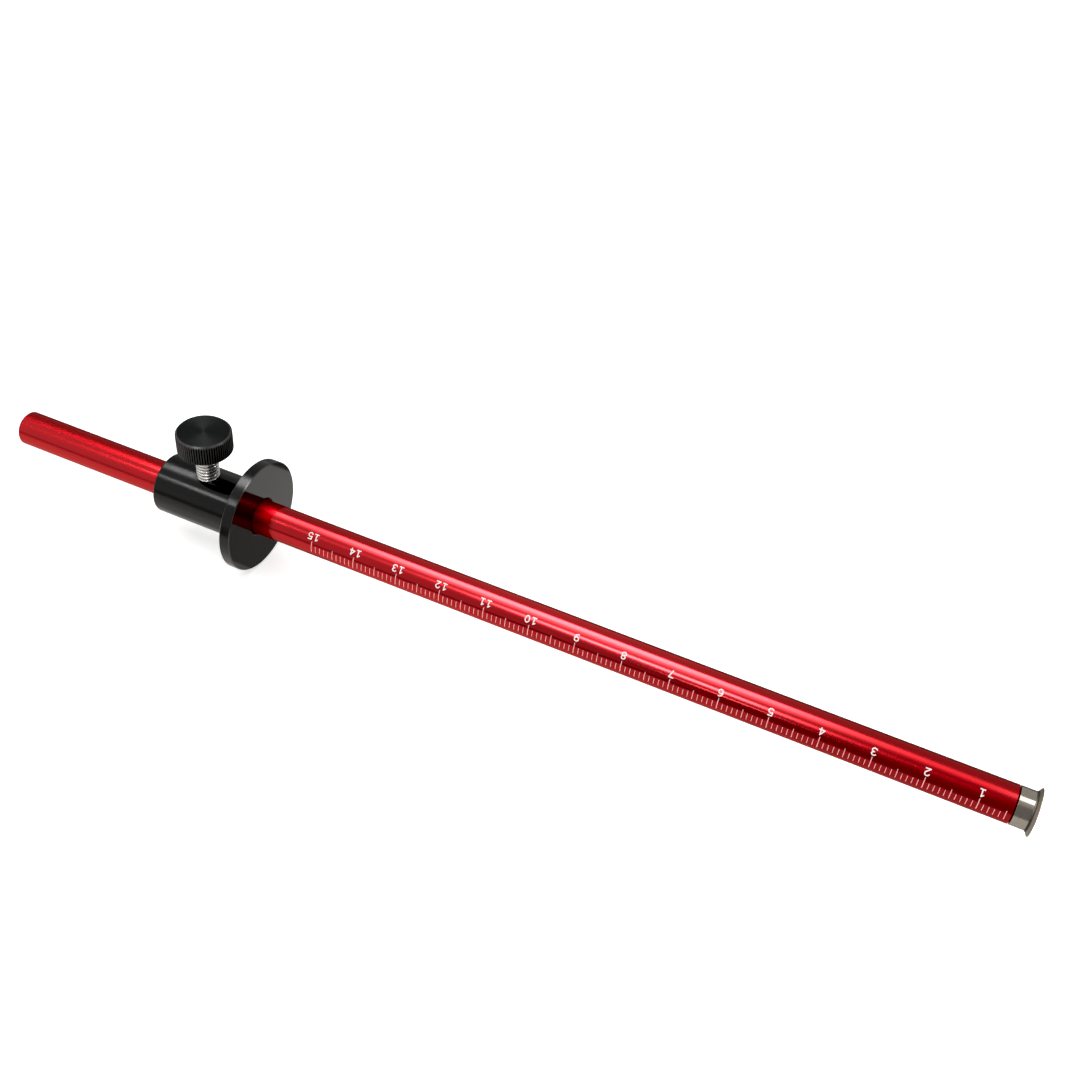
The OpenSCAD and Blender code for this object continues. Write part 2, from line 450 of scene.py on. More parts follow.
def bright_steel():
    """Rolled thread of the thumb screw, with painted shade in the roots."""
    m, nt, b = new_material("bright_steel")
    k = Nodes(nt)
    n = k.noise(k.mm, 2.6, 4.0, 0.6)
    g = k.noise(k.vec("MULTIPLY", k.mm, (1.0, 1.0, 4.0)), 5.0, 3.0, 0.6)
    x, y, z = k.xyz(k.mm)
    dx = k.math("SUBTRACT", x, SCREW_X)
    rad = k.math("SQRT", k.math("ADD", k.math("MULTIPLY", dx, dx), k.math("MULTIPLY", y, y)))
    steel = k.ramp(n, [(0.25, (0.60, 0.59, 0.57)), (0.55, (0.84, 0.83, 0.81)), (0.8, (0.92, 0.91, 0.89))])
    # the roots of the thread are painted near-black by radius: painted shade in the grooves
    k.put(b.inputs["Base Color"], k.mix(k.span(rad, 2.02, 2.34, 1.0, 0.0), steel, (0.045, 0.044, 0.042)))
    b.inputs["Metallic"].default_value = 1.0
    k.put(b.inputs["Roughness"], k.span(g, 0.3, 0.7, 0.18, 0.32))
    k.put(b.inputs["Normal"], k.bump(g, 0.000005, 0.8))
    return m


def polished_steel():
    """Hub of the cutting wheel."""
    m, nt, b = new_material("polished_steel")
    k = Nodes(nt)
    x, y, z = k.xyz(k.mm)
    rings = k.noise(k.combine(x, 0.0, 0.0), 9.0, 3.0, 0.6)
    n = k.noise(k.mm, 1.2, 3.0, 0.6)
    k.put(b.inputs["Base Color"], k.ramp(n, [(0.3, (0.420, 0.378, 0.325)), (0.7, (0.470, 0.424, 0.366))]))
    b.inputs["Metallic"].default_value = 1.0
    k.put(b.inputs["Roughness"], k.span(rings, 0.3, 0.7, 0.09, 0.15))
    k.put(b.inputs["Normal"], k.bump(rings, 0.0000008, 1.0))
    return m


def ground_steel():
    """Hollow-ground back and face of the cutting wheel."""
    m, nt, b = new_material("ground_steel")
    k = Nodes(nt)
    x, y, z = k.xyz(k.mm)
    zz = k.math("SUBTRACT", z, AXIS_Z)
    rad = k.math("SQRT", k.math("ADD", k.math("MULTIPLY", y, y), k.math("MULTIPLY", zz, zz)))
    rings = k.noise(k.combine(rad, k.math("MULTIPLY", x, 0.5), 0.0), 10.0, 3.0, 0.65)
    n = k.noise(k.mm, 1.6, 3.0, 0.6)
    k.put(b.inputs["Base Color"], k.ramp(n, [(0.3, (0.33, 0.295, 0.245)), (0.7, (0.40, 0.36, 0.30))]))
    b.inputs["Metallic"].default_value = 1.0
    k.put(b.inputs["Roughness"], k.span(rings, 0.3, 0.7, 0.32, 0.42))
    k.put(b.inputs["Normal"], k.bump(rings, 0.0000025, 1.0))
    return m


def wheel_root():
    """The root between hub and bevel, painted dark as shade in the crease."""
    m, nt, b = new_material("wheel_root")
    k = Nodes(nt)
    n = k.noise(k.mm, 4.0, 3.0, 0.6)
    k.put(b.inputs["Base Color"], k.ramp(n, [(0.3, (0.060, 0.055, 0.047)), (0.7, (0.085, 0.078, 0.067))]))
    b.inputs["Metallic"].default_value = 1.0
    k.put(b.inputs["Roughness"], k.span(n, 0.3, 0.7, 0.40, 0.50))
    k.put(b.inputs["Normal"], k.bump(n, 0.0000015, 1.0))
    return m


def dark_steel():
    m, nt, b = new_material("dark_steel")
    k = Nodes(nt)
    n = k.noise(k.mm, 3.0, 4.0, 0.6)
    k.put(b.inputs["Base Color"], k.ramp(n, [(0.3, (0.045, 0.044, 0.043)), (0.75, (0.11, 0.108, 0.105))]))
    b.inputs["Metallic"].default_value = 1.0
    k.put(b.inputs["Roughness"], k.span(n, 0.3, 0.7, 0.28, 0.42))
    k.put(b.inputs["Normal"], k.bump(k.noise(k.mm, 9.0, 3.0), 0.000004, 0.8))
    return m


def ring_rubber():
    m, nt, b = new_material("ring_rubber")
    k = Nodes(nt)
    n = k.noise(k.mm, 2.0, 3.0, 0.6)
    k.put(b.inputs["Base Color"], k.ramp(n, [(0.3, (0.010, 0.010, 0.010)), (0.7, (0.022, 0.022, 0.022))]))
    k.put(b.inputs["Roughness"], k.span(n, 0.3, 0.7, 0.55, 0.75))
    k.put(b.inputs["Normal"], k.bump(k.noise(k.mm, 8.0, 3.0), 0.00001, 0.8))
    return m


def pad_brass():
    m, nt, b = new_material("pad_brass")
    k = Nodes(nt)
    n = k.noise(k.mm, 2.4, 4.0, 0.6)
    k.put(b.inputs["Base Color"], k.ramp(n, [(0.3, (0.52, 0.34, 0.11)), (0.7, (0.68, 0.48, 0.19))]))
    b.inputs["Metallic"].default_value = 1.0
    k.put(b.inputs["Roughness"], k.span(n, 0.3, 0.7, 0.25, 0.42))
    k.put(b.inputs["Normal"], k.bump(k.noise(k.mm, 7.0, 3.0), 0.000006, 0.8))
    return m


RED = red_anodised()
LINE, DIGIT = mark("mark_line", (0.90, 0.38, 0.38), (0.97, 0.46, 0.45)), mark("mark_digit", (0.84, 0.74, 0.73), (0.93, 0.86, 0.85))
COLLAR, FACE, EDGE_GLINT = black_collar(), black_face(), black_edge()
SIDE, TOP, GROOVE_SHADE, CHAMFER_SHEEN = knob_side(), knob_top(), knob_groove(), knob_chamfer()
STUD, HUB, GROUND, ROOT_SHADE = bright_steel(), polished_steel(), ground_steel(), wheel_root()
DARK, RUBBER, BRASS = dark_steel(), ring_rubber(), pad_brass()

# ------------------------------------------------------------------ rod
rod_profile = Profile([
    (0.0, at(OVERALL), 0, 0), (3.3, at(OVERALL), 0.12, 0), (ROD_R, at(OVERALL - 0.5), 0.3, 0),
    (ROD_R, at(WHEEL_LEN + 0.20), 0.03, 0), (ROD_R - 0.45, at(WHEEL_LEN + 0.03), 0.0, 0),
    (1.7, at(WHEEL_LEN + 0.03), 0, 0), (1.5, at(WHEEL_LEN + 0.23), 0, 0), (1.5, at(10.2), 0, 0), (0.0, at(11.1), 0, 0),
])
rod = lathe("rod_bar", rod_profile, [RED])
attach(rod, "rod")
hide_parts("beam_rod")


# ------------------------------------------------------------------ scale on the rod
MARK_IN, MARK_OUT = ROD_R - 0.006, ROD_R + 0.010


def on_rod(a, phi, r):
    """A point on the rod: a is x in mm, phi the angle from the top towards the camera's side."""
    return place_x(a, r, phi)


def bent_solid(verts2, faces2, name):
    """Closed thin solid on the rod from a flat mesh of (x, phi) points."""
    n = len(verts2)
    verts = [on_rod(x, p, MARK_OUT) for x, p in verts2] + [on_rod(x, p, MARK_IN) for x, p in verts2]
    edges = {}
    for f in faces2:
        for a, b in zip(f, f[1:] + f[:1]):
            edges[(a, b)] = edges.get((a, b), 0) + 1
    faces = [list(f) for f in faces2] + [[i + n for i in f[::-1]] for f in faces2]
    for a, b in edges:
        if (b, a) not in edges:
            faces.append([a, a + n, b + n, b])
    # outside faces out: the first face's normal should point away from the axis
    v = [np.array(verts[i]) for i in faces[0]]
    fn = np.cross(v[1] - v[0], v[2] - v[1])
    c = sum(v) / len(v)
    if fn @ np.array([0, c[1], c[2] - AXIS_Z * MM]) < 0:
        faces = [f[::-1] for f in faces]
    return verts, faces


def merge(name, solids, mats):
    verts, faces = [], []
    for v, f in solids:
        o = len(verts)
        verts += v
        faces += [[i + o for i in g] for g in f]
    ob = make_object(name, verts, faces, mats)
    ob.data.set_sharp_from_angle(angle=math.radians(35))
    return ob


rng = np.random.default_rng(7)
ticks = []
for s in range(5, 151):
    if s % 10 == 0:
        p0, p1, w = 60.0, 101.0, 0.145
    elif s % 5 == 0:
        p0, p1, w = 66.5, 100.0, 0.125
    else:
        p0, p1, w = 74.5, 98.5, 0.105
    p0, p1 = math.radians(p0 + rng.normal(0, 0.35)), math.radians(p1 + rng.normal(0, 0.35))
    steps = 16
    x = at(s)
    v2 = []
    for i in range(steps + 1):
        t = i / steps
        ww = w * (0.55 if i in (0, steps) else 1.0) * (1 + 0.05 * rng.normal())
        v2 += [(x - ww / 2, p0 + (p1 - p0) * t), (x + ww / 2, p0 + (p1 - p0) * t)]
    f2 = [[2 * i, 2 * i + 1, 2 * i + 3, 2 * i + 2] for i in range(steps)]
    ticks.append(bent_solid(v2, f2, "tick"))
scale_lines = merge("scale_lines", ticks, [LINE])
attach(scale_lines, "rod")


# numerals: strokes of one pen width
def arc_points(cx, cy, rx, ry, a0, a1, n=14):
    return [
        (cx + rx * math.cos(math.radians(a0 + (a1 - a0) * i / n)), cy + ry * math.sin(math.radians(a0 + (a1 - a0) * i / n)))
        for i in range(n + 1)
    ]


DIGITS = {
    "0": [arc_points(0, 0.5, 0.30, 0.44, 0, 360, 28)],
    "1": [[(-0.26, 0.74), (0.0, 0.94), (0.0, 0.06)], [(-0.28, 0.06), (0.28, 0.06)]],
    "2": [arc_points(0, 0.67, 0.29, 0.27, 165, -35, 16) + [(-0.30, 0.06), (0.31, 0.06)]],
    "3": [arc_points(-0.02, 0.725, 0.28, 0.215, 155, -90, 16) + arc_points(-0.02, 0.285, 0.31, 0.225, 90, -155, 18)],
    "4": [[(0.14, 0.06), (0.14, 0.94), (-0.33, 0.31), (0.34, 0.31)]],
    "5": [[(0.27, 0.94), (-0.24, 0.94), (-0.27, 0.53)] + arc_points(-0.01, 0.34, 0.31, 0.28, 125, -150, 18)],
    "6": [arc_points(0.02, 0.33, 0.29, 0.27, 0, 360, 24), [(-0.27, 0.36)] + arc_points(0.10, 0.45, 0.38, 0.49, 170, 75, 12)],
    "7": [[(-0.30, 0.94), (0.30, 0.94), (-0.08, 0.06)]],
    "8": [arc_points(0, 0.715, 0.25, 0.225, 0, 360, 24), arc_points(0, 0.285, 0.30, 0.235, 0, 360, 24)],
    "9": [arc_points(-0.02, 0.67, 0.29, 0.27, 0, 360, 24), [(0.27, 0.64)] + arc_points(-0.10, 0.55, 0.38, 0.49, -10, -105, 12)],
}


def glyph_mesh(digit, height, pen, cell=0.026):
    """Flat mesh of a digit: the shape within half a pen width of its strokes, cut out of a fine grid."""
    lo, hi = np.array([-0.55 * height, -0.14 * height]), np.array([0.55 * height, 1.14 * height])
    nx, ny = [int(math.ceil((hi[i] - lo[i]) / cell)) for i in (0, 1)]
    xs, ys = lo[0] + cell * np.arange(nx + 1), lo[1] + cell * np.arange(ny + 1)
    gx, gy = np.meshgrid(xs, ys, indexing="ij")
    d = np.full(gx.shape, 9.0)
    for stroke in DIGITS[digit]:
        p = np.array(stroke) * (height * WIDE, height)
        for a, b in zip(p, p[1:]):
            ab = b - a
            if ab @ ab < 1e-12:
                continue
            t = np.clip(((gx - a[0]) * ab[0] + (gy - a[1]) * ab[1]) / (ab @ ab), 0, 1)
            d = np.minimum(d, np.hypot(gx - a[0] - t * ab[0], gy - a[1] - t * ab[1]))
    f = pen / 2 - d  # positive inside
    # no slivers: a grid point is never closer than a tenth of a cell to the outline
    f = np.where(np.abs(f) < 0.1 * cell, np.where(f < 0, -0.1 * cell, 0.1 * cell), f)
    verts, index, faces = [], {}, []

    def corner(i, j):
        key = ("c", i, j)
        if key not in index:
            index[key] = len(verts)
            verts.append((xs[i], ys[j]))
        return index[key]

    def crossing(a, b):
        key = ("e", *min(a, b), *max(a, b))
        if key not in index:
            a, b = min(a, b), max(a, b)
            t = f[a] / (f[a] - f[b])
            index[key] = len(verts)
            verts.append((xs[a[0]] + t * (xs[b[0]] - xs[a[0]]), ys[a[1]] + t * (ys[b[1]] - ys[a[1]])))
        return index[key]

    for i in range(nx):
        for j in range(ny):
            ring = [(i, j), (i + 1, j), (i + 1, j + 1), (i, j + 1)]
            inside = [f[c] > 0 for c in ring]
            if not any(inside):
                continue
            poly = []
            for q in range(4):
                a, b = ring[q], ring[(q + 1) % 4]
                if f[a] > 0:
                    poly.append(corner(*a))
                if (f[a] > 0) != (f[b] > 0):
                    poly.append(crossing(a, b))
            if len(poly) >= 3:
                faces.append(poly)
    return verts, faces


glyphs = {}
numerals = []
HEIGHT, WIDE, PEN, ADVANCE = 1.52, 0.95, 0.225, 1.40
PHI0 = math.radians(33.2)
for cm in range(1, 16):
    text = str(cm)
    for i, ch in enumerate(text):
        if ch not in glyphs:
            glyphs[ch] = glyph_mesh(ch, HEIGHT, PEN)
        gv, gf = glyphs[ch]
        off = (i - (len(text) - 1) / 2) * ADVANCE
        # read from the other side of the bar: right is towards the free end, up is down the camera's side
        v2 = [(at(cm * 10) - (a + off), PHI0 + b / ROD_R) for a, b in gv]
        numerals.append(bent_solid(v2, gf, "digit"))
scale_numerals = merge("scale_numerals", numerals, [DIGIT])
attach(scale_numerals, "rod")

# ------------------------------------------------------------------ fence
F = FENCE_AT
FACE_I, COLLAR_I, EDGE_GLINT_I = 0, 1, 2
# the chamfers and the bore end take the edge material, whose lighter colour is a painted glint
fence_profile = Profile([
    (4.34, at(F), 0.03, FACE_I), (12.098, at(F), 0.04, EDGE_GLINT_I), (12.298, at(F + 0.2), 0.04, COLLAR_I),
    (12.298, at(F + 2.3), 0.04, EDGE_GLINT_I), (12.098, at(F + 2.5), 0.04, COLLAR_I),
    (6.90, at(F + 2.5), 0.0, COLLAR_I), (6.65, at(F + 2.75), 0.0, COLLAR_I),
    (6.65, at(F + 23.3), 0.4, COLLAR_I), (4.24, at(F + 23.3), 0.05, EDGE_GLINT_I), (3.84, at(F + 22.9), 0, COLLAR_I),
    (3.84, at(F + 19.45), 0, COLLAR_I), (5.40, at(F + 19.45), 0, COLLAR_I),
    (5.40, at(F + 17.55), 0, COLLAR_I), (3.84, at(F + 17.55), 0, COLLAR_I), (3.84, at(F + 0.5), 0, EDGE_GLINT_I),
])


def cut_hole(ob, profile, radius, low, high):
    """Drills the hole of the thumb screw and gives every face its exact normals again."""
    n = 128
    cv = [place_z(u, radius, 2 * math.pi * j / n) for u in (low, high) for j in range(n)]
    cf = [[j, (j + 1) % n, n + (j + 1) % n, n + j] for j in range(n)]
    cf += [list(range(n))[::-1], list(range(n, 2 * n))]
    cutter = make_object("cutter", cv, cf, list(ob.data.materials), [COLLAR_I] * len(cf))
    mod = ob.modifiers.new("hole", "BOOLEAN")
    mod.operation, mod.solver, mod.object = "DIFFERENCE", "EXACT", cutter
    dg = bpy.context.evaluated_depsgraph_get()
    me = bpy.data.meshes.new_from_object(ob.evaluated_get(dg))
    ob.modifiers.clear()
    old = ob.data
    ob.data = me
    bpy.data.meshes.remove(old)
    bpy.data.objects.remove(cutter)
    me.polygons.foreach_set("use_smooth", np.ones(len(me.polygons), bool))
    normals = [None] * len(me.loops)
    seg = [(p, q, n0, n1) for p, q, n0, n1, _ in profile.stretches]
    for poly in me.polygons:
        pts = [np.array(me.vertices[me.loops[i].vertex_index].co) * 1000 for i in poly.loop_indices]
        wall = all(abs(math.hypot(p[0] - SCREW_X, p[1]) - radius) < 2e-3 for p in pts)
        if wall:
            for i, p in zip(poly.loop_indices, pts):
                d = np.array([SCREW_X - p[0], -p[1], 0.0])
                normals[i] = tuple(d / np.linalg.norm(d))
            continue
        c = sum(pts) / len(pts)
        cu = np.array([c[0], math.hypot(c[1], c[2] - AXIS_Z)])
        rad = np.array([0, c[1], c[2] - AXIS_Z]) / max(cu[1], 1e-9)
        fn = np.array(poly.normal)
        fn2 = np.array([fn[0], fn @ rad])
        best, pick = 1e9, None
        for p, q, n0, n1 in seg:
            e = q - p
            t = max(0.0, min(1.0, float((cu - p) @ e / (e @ e))))
            dist = np.linalg.norm(p + t * e - cu) + 0.3 * (1 - float(((n0 + n1) / 2) @ fn2))
            if dist < best:
                best, pick = dist, (p, q, n0, n1)
        p, q, n0, n1 = pick
        e = q - p
        for i, v in zip(poly.loop_indices, pts):
            r = math.hypot(v[1], v[2] - AXIS_Z)
            w = np.array([v[0], r])
            t = max(0.0, min(1.0, float((w - p) @ e / (e @ e))))
            nn = n0 + (n1 - n0) * t
            nn = nn / np.linalg.norm(nn)
            normals[i] = (nn[0], nn[1] * v[1] / r, nn[1] * (v[2] - AXIS_Z) / r)
    me.normals_split_custom_set(normals)
    me.update()


fence = lathe("fence_body", fence_profile, [FACE, COLLAR, EDGE_GLINT])
cut_hole(fence, fence_profile, 2.49, 0.5, 9.0)
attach(fence, "fence")
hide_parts("fence")


# ------------------------------------------------------------------ thumb screw
def stud_mesh():
    """Stud with a real helical thread, plain where it goes into the knob."""
    pitch, crest, root = 0.8, 2.44, 1.98
    tip, top = 4.45, KNOB_UNDER + 3.38
    cols, step = 96, 0.05
    zs = list(np.arange(tip, KNOB_UNDER - 0.1, step)) + [KNOB_UNDER - 0.1, KNOB_UNDER + 0.05, top]
    verts, faces = [], []
    for z in zs:
        for j in range(cols):
            t = ((z - tip) / pitch - j / cols) % 1.0
            d = abs(t - 0.5) * 2  # 1 at the root, 0 at the crest
            w = min(1.0, max(0.0, (0.90 - d) / 0.66))
            w = w * w * (3 - 2 * w)
            r = root + (crest - root) * w
            # the thread starts with a chamfer and runs out under the knob
            r = min(r, root - 0.10 + max(0.0, z - tip) * 1.0)
            if z > KNOB_UNDER - 0.45:
                r = min(r, crest - 0.12)
            if z > KNOB_UNDER:
                r = crest - 0.02
            verts.append(place_z(z, r, 2 * math.pi * j / cols))
    rows = len(zs)
    for i in range(rows - 1):
        for j in range(cols):
            a, b = i * cols + j, i * cols + (j + 1) % cols
            faces.append([a, b, b + cols, a + cols])
    faces.append(list(range(cols))[::-1])
    faces.append(list(range((rows - 1) * cols, rows * cols)))
    ob = make_object("clamp_thread", verts, faces, [STUD])
    ob.data.set_sharp_from_angle(angle=math.radians(50))
    return ob


stud = stud_mesh()
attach(stud, "thumb_screw")
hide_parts("clamp_stud")


def knob_mesh():
    """Knob with a straight knurl cut right through the chamfer, and a turned top."""
    count, depth, half = 70, 0.22, 0.155
    pitch = 2 * math.pi * KNOB_R / count
    offs = [-0.5 * pitch, -0.185, -0.15, -0.10, -0.03, 0.03, 0.10, 0.15, 0.185]
    cols = []
    for i in range(count):
        for o in offs:
            a = (i + 0.5) * pitch + o
            flute = KNOB_R - depth + max(abs(o), 0.022) / 0.705
            cols.append((a / KNOB_R, flute))
    n = len(cols)
    narrow = len(offs)
    # faces in the knurl grooves take the groove material, painted darker as shade
    deep_painted_shade = [abs(offs[j % narrow] + offs[(j + 1) % narrow]) < 0.22 and j % narrow not in (0, narrow - 1) for j in range(n)]
    u0, u1 = KNOB_UNDER, KNOB_TOP
    rows = []  # (height, plain radius, top part)
    for t in (0.0, 0.35, 0.7, 1.0):
        rows.append((u0 + 0.25 * t, KNOB_R - 0.25 * (1 - t)))
    for t in (0.12, 0.5, 0.88):
        rows.append((u0 + 0.25 + (u1 - u0 - 0.70) * t, KNOB_R))
    for t in (0.0, 0.10, 0.22, 0.34, 0.46, 0.58, 0.72, 0.86, 1.0):
        rows.append((u1 - 0.45 + 0.45 * t, KNOB_R - 0.45 * t))
    verts = []
    for u, r in rows:
        for a, flute in cols:
            verts.append(place_z(u, min(r, flute), a))
    faces, fm = [], []
    for i in range(len(rows) - 1):
        for j in range(n):
            a, b = i * n + j, i * n + (j + 1) % n
            faces.append([a, b, b + n, a + n])
            # chamfer faces take the chamfer material, painted lighter as a sheen
            on_chamfer = i >= 7 and max(rows[i][1], rows[i + 1][1]) < KNOB_R - 0.01
            fm.append(3 if on_chamfer else 2 if deep_painted_shade[j] else 0)
    # top: rings inwards to the middle
    last = (len(rows) - 1) * n
    prev = [last + j for j in range(n)]
    for r in (5.30, 4.2, 3.0, 1.8, 0.7):
        base = len(verts)
        for a, _ in cols:
            verts.append(place_z(u1, r, a))
        ring = [base + j for j in range(n)]
        for j in range(n):
            faces.append([prev[j], prev[(j + 1) % n], ring[(j + 1) % n], ring[j]])
            fm.append(1)
        prev = ring
    verts.append(place_z(u1, 0.0, 0.0))
    mid = len(verts) - 1
    for j in range(n):
        faces.append([prev[j], prev[(j + 1) % n], mid])
        fm.append(1)
    # underside and the blind hole of the stud
    prev = [j for j in range(n)]
    for r, u in ((2.44, u0), (2.44, u0 + 3.4)):
        base = len(verts)
        for a, _ in cols:
            verts.append(place_z(u, r, a))
        ring = [base + j for j in range(n)]
        for j in range(n):
            faces.append([prev[(j + 1) % n], prev[j], ring[j], ring[(j + 1) % n]])
            fm.append(0)
        prev = ring
    verts.append(place_z(u0 + 3.4, 0.0, 0.0))
    mid = len(verts) - 1
    for j in range(n):
        faces.append([prev[(j + 1) % n], prev[j], mid])
        fm.append(0)
    ob = make_object("clamp_thumb_knob", verts, faces, [SIDE, TOP, GROOVE_SHADE, CHAMFER_SHEEN], fm)
    ob.data.set_sharp_from_angle(angle=math.radians(28))
    return ob


knob = knob_mesh()
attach(knob, "thumb_screw")
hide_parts("clamp_knob")

# ------------------------------------------------------------------ cutting wheel
FILLET = 0.5
FILLET_S = 0.1 + 0.9 / math.tan(math.radians(56)) + FILLET * math.tan(math.radians(28))
wheel_profile = Profile([
    (2.82, at(0.0), 0.03, 1), (4.70, at(0.0), 0.02, 1), (4.70, at(0.1), 0.0, 1),
    # the fillet stretches take the root material, painted dark as shade
    *[
        (ROD_R + FILLET * (1 - math.cos(math.radians(a))), at(FILLET_S - FILLET * math.sin(math.radians(a))), 0.0, 2)
        for a in (56, 48, 40, 32, 24, 16, 8)
    ],
    (3.8, at(FILLET_S), 0.0, 0), (3.8, at(3.70), 0.03, 0), (3.40, at(3.8), 0.0, 0),
    (1.53, at(3.8), 0, 1), (1.53, at(1.64), 0, 1), (2.82, at(0.35), 0, 1),
])
# the fillet is one smooth curve: its stretches share normals
cx, cu = ROD_R + FILLET, at(FILLET_S)
fixed = []
for p, q, n0, n1, m in wheel_profile.stretches:
    if all(abs(math.hypot(e[1] - cx, e[0] - cu) - FILLET) < 1e-4 for e in (p, q)) and np.linalg.norm(p - q) < 0.1:
        n0 = np.array([cu - p[0], cx - p[1]]) / FILLET
        n1 = np.array([cu - q[0], cx - q[1]]) / FILLET
    fixed.append((p, q, n0, n1, m))
wheel_profile.stretches = fixed
wheel = lathe("cutting_wheel", wheel_profile, [HUB, GROUND, ROOT_SHADE])
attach(wheel, "wheel")
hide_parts("cutter_wheel")

# ------------------------------------------------------------------ pieces that stay as the CAD made them
for node, m in (("cutter_screw", DARK), ("grip_ring", RUBBER), ("clamp_pad", BRASS)):
    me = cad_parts[node].data
    me.materials.clear()
    me.materials.append(m)

# ------------------------------------------------------------------ floor, light, camera
fm_, nt, b = new_material("floor_white")
k = Nodes(nt)
n = k.noise(k.mm, 0.02, 3.0, 0.5)
k.put(b.inputs["Base Color"], k.ramp(n, [(0.3, (0.90, 0.90, 0.90)), (0.7, (0.93, 0.93, 0.93))]))
b.inputs["Roughness"].default_value = 0.9
b.inputs["Specular IOR Level"].default_value = 0.1
b.inputs["Emission Color"].default_value = (1.0, 1.0, 1.0, 1.0)
b.inputs["Emission Strength"].default_value = 0.6


def plane(name, x0, x1, y0, y1, z, m):
    o = make_object(name, [(x0, y0, z), (x1, y0, z), (x1, y1, z), (x0, y1, z)], [[0, 1, 2, 3]], [m])
    return o


floor = plane("floor", -2, 2, -2, 2, -0.00002, fm_)

# round white backdrop, for views from low down
bm_, nt, b = new_material("backdrop_white")
b.inputs["Base Color"].default_value = (0.0, 0.0, 0.0, 1.0)
b.inputs["Roughness"].default_value = 1.0
b.inputs["Specular IOR Level"].default_value = 0.0
b.inputs["Emission Color"].default_value = (1.0, 1.0, 1.0, 1.0)
b.inputs["Emission Strength"].default_value = 1.1
rim = [(1.9 * math.cos(2 * math.pi * j / 96), 1.9 * math.sin(2 * math.pi * j / 96)) for j in range(96)]
backdrop = make_object(
    "backdrop", [(x, y, -0.01) for x, y in rim] + [(x, y, 3.0) for x, y in rim],
    [[(j + 1) % 96, j, 96 + j, 96 + (j + 1) % 96] for j in range(96)], [bm_],
)
backdrop.visible_diffuse = backdrop.visible_glossy = backdrop.visible_shadow = False
backdrop.visible_transmission = backdrop.visible_volume_scatter = False

# cards that lie under and beside the object and show only in its gloss:
# (name, x0, x1, y0, y1, own glow, (place along x, tone)); those without a glow are lit by the lights
# the cards are painted reflections: their tones stand for the floor and room, and the darker tones under the rod and
# by the fence are painted shadow
CARDS = (
    ("card_front", -1.8, 1.8, -1.8, -0.056, 0.0, ((0.30, 0.20), (0.0, 0.24), (-0.15, 0.45), (-0.6, 0.55))),
    ("card_mid", -1.8, 1.8, -0.056, -0.0125, 2.0, ((0.11, 0.345), (0.08, 0.35), (0.053, 0.42), (0.013, 0.47), (-0.027, 0.54), (-0.08, 0.57), (-0.11, 0.58))),
    ("card_near", -1.8, 1.8, -0.0125, -0.0042, 2.0, ((0.11, 0.32), (0.08, 0.325), (0.053, 0.39), (0.013, 0.435), (-0.027, 0.50), (-0.045, 0.47), (-0.056, 0.38), (-0.075, 0.38), (-0.085, 0.50), (-0.11, 0.53))),
    ("card_under_painted_shadow", -1.8, 1.8, -0.0042, 0.012, 2.0, ((0.11, 0.25), (0.053, 0.31), (-0.020, 0.39), (-0.034, 0.32), (-0.040, 0.20), (-0.056, 0.19), (-0.075, 0.30), (-0.085, 0.40), (-0.11, 0.42))),
    ("card_face", -0.056, 0.004, 0.012, 0.028, 2.0, ((0.004, 0.68), (-0.056, 0.71))),
    ("card_back_right", 0.004, 1.8, 0.012, 0.028, 0.0, ((0.30, 0.16), (0.0, 0.17))),
    ("card_back_left", -1.8, -0.056, 0.012, 0.028, 0.0, ((0.0, 0.18), (-0.6, 0.19))),
    ("card_back", -1.8, 1.8, 0.028, 1.8, 0.0, ((0.30, 0.16), (-0.6, 0.19))),
)
for name, x0, x1, y0, y1, glow, tones in CARDS:
    cm_, nt, b = new_material(name)
    k = Nodes(nt)
    first, last = tones[0][0], tones[-1][0]
    r = k.span(k.xyz(k.mm)[0], first * 1000, last * 1000, 0.0, 1.0)
    shade = k.ramp(r, [((p - first) / (last - first), (v, 0.965 * v, 0.93 * v)) for p, v in tones])
    b.inputs["Roughness"].default_value = 0.9
    b.inputs["Specular IOR Level"].default_value = 0.1
    if glow:
        b.inputs["Base Color"].default_value = (0.0, 0.0, 0.0, 1.0)
        k.put(b.inputs["Emission Color"], shade)
        b.inputs["Emission Strength"].default_value = glow
    else:
        k.put(b.inputs["Base Color"], shade)
    o = plane(name, x0, x1, y0, y1, 0.0, cm_)
    o.visible_camera = o.visible_diffuse = o.visible_shadow = False
    o.visible_transmission = o.visible_volume_scatter = False


def area(name, x0, x1, y0, y1, z, radiance, along_x=None, along_y=None, diffuse=False, glossy=True):
    """A flat light box that faces down. along_x and along_y are (place in metres, share of the radiance) stops."""
    l = bpy.data.lights.new(name, "AREA")
    l.shape = "RECTANGLE"
    l.size, l.size_y = x1 - x0, y1 - y0
    l.energy = radiance * math.pi * l.size * l.size_y
    if along_x or along_y:
        l.use_nodes = True
        k = Nodes(l.node_tree)
        g = l.node_tree.nodes.new("ShaderNodeNewGeometry")
        u, v, _ = k.xyz(g.outputs["Parametric"])
        shade = None
        for value, stops, c0, c1 in ((u, along_x, x0, x1), (v, along_y, y0, y1)):
            if stops:
                r = k.ramp(value, [((c - c0) / (c1 - c0), (w, w, w)) for c, w in stops])
                shade = r if shade is None else k.mix(1.0, shade, r, "MULTIPLY")
        k.put(l.node_tree.nodes["Emission"].inputs["Color"], shade)
    o = bpy.data.objects.new(name, l)
    o.location = ((x0 + x1) / 2, (y0 + y1) / 2, z)
    bpy.context.scene.collection.objects.link(o)
    o.visible_camera = False
    o.visible_diffuse, o.visible_glossy = diffuse, glossy
    return o


